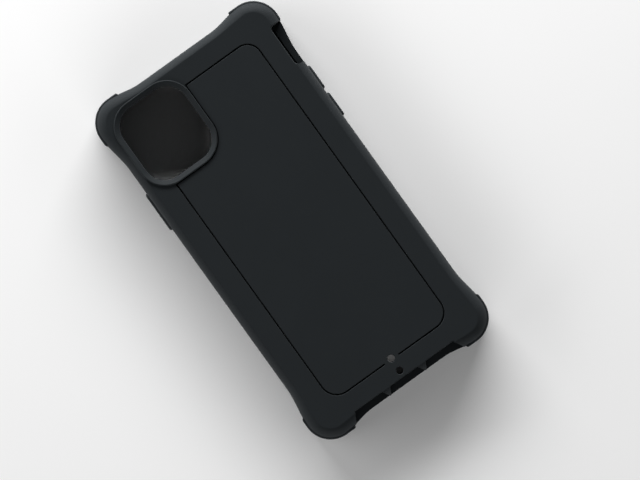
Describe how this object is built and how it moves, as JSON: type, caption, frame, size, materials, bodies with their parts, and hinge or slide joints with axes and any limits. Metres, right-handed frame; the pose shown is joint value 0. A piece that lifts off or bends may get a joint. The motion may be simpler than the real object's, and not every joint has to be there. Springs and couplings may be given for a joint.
{
  "type": "phone case",
  "caption": "Protective phone case with a soft flared-corner frame, a stiff inlaid back plate, camera window, port cut-outs, lanyard holes and sprung side buttons.",
  "frame": {"origin": "centre of the footprint, on the plane of the front lip", "axes": "case lying face down: +Z out of the back, +Y towards the camera end, +X towards the volume buttons"},
  "size_m": [0.0854, 0.1624, 0.0124],
  "materials": {
    "soft_shell": "soft-touch matte, fine grain",
    "hard_plate": "matte, fine grain",
    "soft_trim": "matte",
    "button": "matte"
  },
  "bodies": {
    "shell": {"bumper_frame": "soft_shell", "back_plate": "hard_plate", "camera_bezel": "soft_trim", "corner_pad_top_left": "soft_trim", "corner_pad_top_right": "soft_trim", "corner_pad_bottom_left": "soft_trim", "corner_pad_bottom_right": "soft_trim"},
    "volume_up": {"volume_up_button": "button"},
    "volume_down": {"volume_down_button": "button"},
    "power": {"power_button": "button"}
  },
  "joints": [
    {"name": "volume_up_press", "type": "slide", "parent": "shell", "child": "volume_up", "axis": [-1, 0, 0], "range_m": [0, 0.00035], "stiffness_N_per_m": 2000},
    {"name": "volume_down_press", "type": "slide", "parent": "shell", "child": "volume_down", "axis": [-1, 0, 0], "range_m": [0, 0.00035], "stiffness_N_per_m": 2000},
    {"name": "power_press", "type": "slide", "parent": "shell", "child": "power", "axis": [1, 0, 0], "range_m": [0, 0.00035], "stiffness_N_per_m": 2000}
  ]
}
